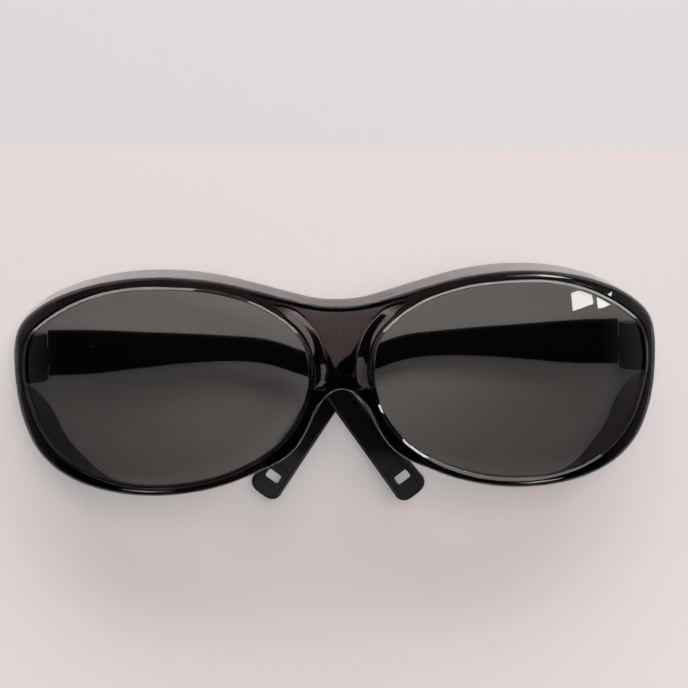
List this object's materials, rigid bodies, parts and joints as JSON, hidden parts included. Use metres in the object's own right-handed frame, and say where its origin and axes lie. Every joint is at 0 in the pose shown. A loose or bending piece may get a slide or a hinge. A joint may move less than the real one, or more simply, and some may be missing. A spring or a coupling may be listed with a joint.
{
  "type": "over-glasses safety glasses",
  "caption": "Over-glasses safety glasses with smoke-grey wrap front, side shields, tinted lenses, nose saddle and folding black temples.",
  "frame": {"origin": "on the table under the middle of the whole part, as it lies face up on its folded temples", "axes": "+X to the wearer's left, +Y towards the brow, +Z out of the front of the lenses, away from the table"},
  "size_m": [0.166, 0.0606, 0.0461],
  "materials": {
    "smoke_frame": "polished, smoke-grey transparent polycarbonate",
    "tinted_lens": "polished, grey-tinted transparent polycarbonate",
    "saddle_rubber": "satin black soft rubber",
    "hinge_black": "satin black nylon",
    "hinge_steel": "turned steel",
    "temple_black": "satin black nylon, fine moulded grain"
  },
  "bodies": {
    "front": {"front_frame": "smoke_frame", "lens_left": "tinted_lens", "lens_right": "tinted_lens", "nose_saddle": "saddle_rubber", "hinge_block_left": "hinge_black", "hinge_block_right": "hinge_black", "hinge_screw_left": "hinge_steel", "hinge_screw_right": "hinge_steel", "hinge_nut_left": "hinge_steel", "hinge_nut_right": "hinge_steel"},
    "temple_left": {"temple_left": "temple_black"},
    "temple_right": {"temple_right": "temple_black"}
  },
  "joints": [
    {"name": "temple_left_fold", "type": "hinge", "parent": "front", "child": "temple_left", "pos_m": [0.077, 0.00781, 0.003], "axis": [0, -1, 0], "range_deg": [0, 92]},
    {"name": "temple_right_fold", "type": "hinge", "parent": "front", "child": "temple_right", "pos_m": [-0.077, 0.00781, 0.003], "axis": [0, 1, 0], "range_deg": [0, 96]}
  ]
}
